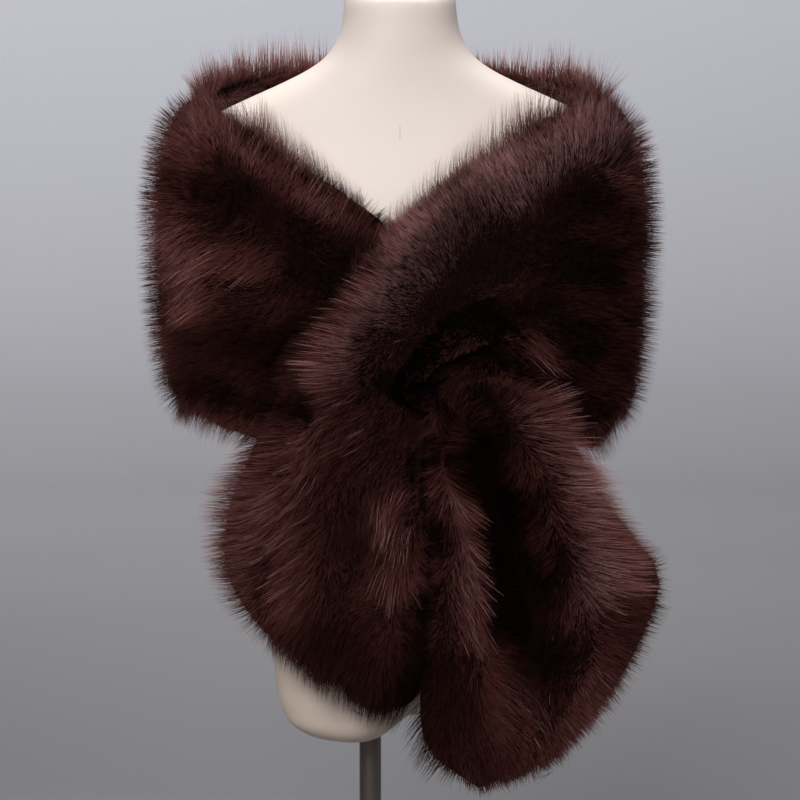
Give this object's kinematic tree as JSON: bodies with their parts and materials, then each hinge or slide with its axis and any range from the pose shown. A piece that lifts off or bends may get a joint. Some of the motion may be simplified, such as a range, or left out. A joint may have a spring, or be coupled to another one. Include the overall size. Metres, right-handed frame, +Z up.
{
  "type": "fur stole wrap on a dress form",
  "caption": "Long-pile fur stole worn off the shoulders of a limbless dress form, one end drawn through a slot in the other, on a round-based pole stand.",
  "frame": {"origin": "on the floor, at the centre of the stand base's underside, on the pole's axis", "axes": "+Z up along the pole, the form faces -Y, +X is the side of the stretch that crosses over"},
  "size_m": [0.5048, 0.3583, 1.0273],
  "materials": {
    "fur": "long-pile fur, dark red-brown with near-black roots",
    "form_cover": "smooth matt cream cover",
    "steel": "satin steel"
  },
  "bodies": {
    "root": {"stole_back": "fur", "stole_front_under": "fur", "stole_tail_through": "fur", "stole_front_over": "fur", "stole_tail_over": "fur", "form_body": "form_cover", "form_neck_cap": "steel", "stand_pole": "steel", "stand_collar": "steel", "stand_base": "steel"}
  },
  "joints": []
}
